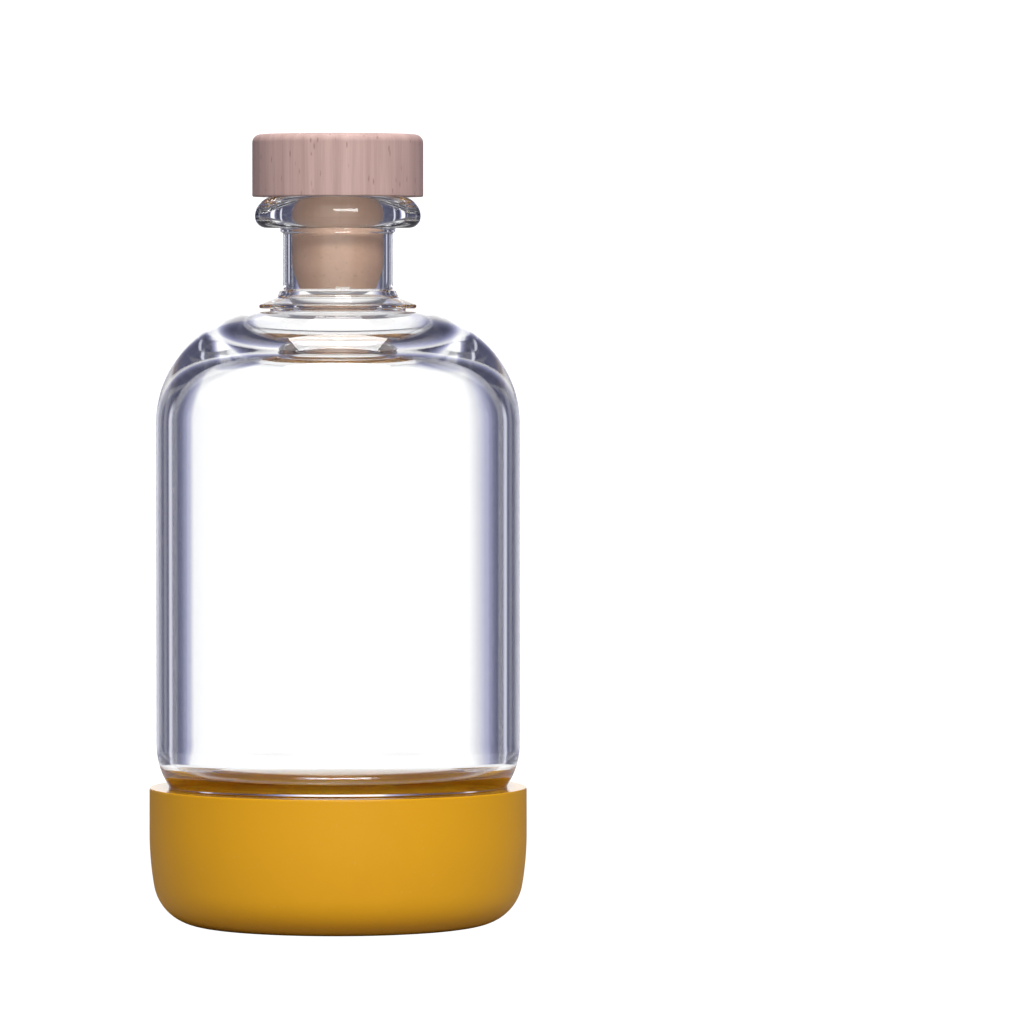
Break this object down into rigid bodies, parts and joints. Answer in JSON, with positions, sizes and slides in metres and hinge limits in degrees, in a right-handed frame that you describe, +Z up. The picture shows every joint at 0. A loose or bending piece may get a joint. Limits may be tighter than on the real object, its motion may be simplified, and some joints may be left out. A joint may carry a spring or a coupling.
{
  "type": "glass bottle with stopper and base sleeve",
  "caption": "Clear round glass bottle with rounded shoulders and a rolled lip, closed by a wood-topped stopper and standing in a moulded silicone base sleeve",
  "frame": {"origin": "centre of the underside of the base sleeve, on the bottle's axis", "axes": "+Z up along the bottle's axis towards the stopper; +X to the right and -Y towards the viewer, though the shape is the same all round"},
  "size_m": [0.0754, 0.0754, 0.1579],
  "materials": {
    "glass": "clear, smooth, pressed glass",
    "wood": "pale pinkish beech, fine sanded, upright grain",
    "cork": "smooth tan synthetic cork",
    "silicone": "matte mustard yellow silicone"
  },
  "bodies": {
    "root": {"bottle_glass": "glass", "stopper_cap": "wood", "stopper_plug": "cork", "base_sleeve": "silicone"}
  },
  "joints": []
}
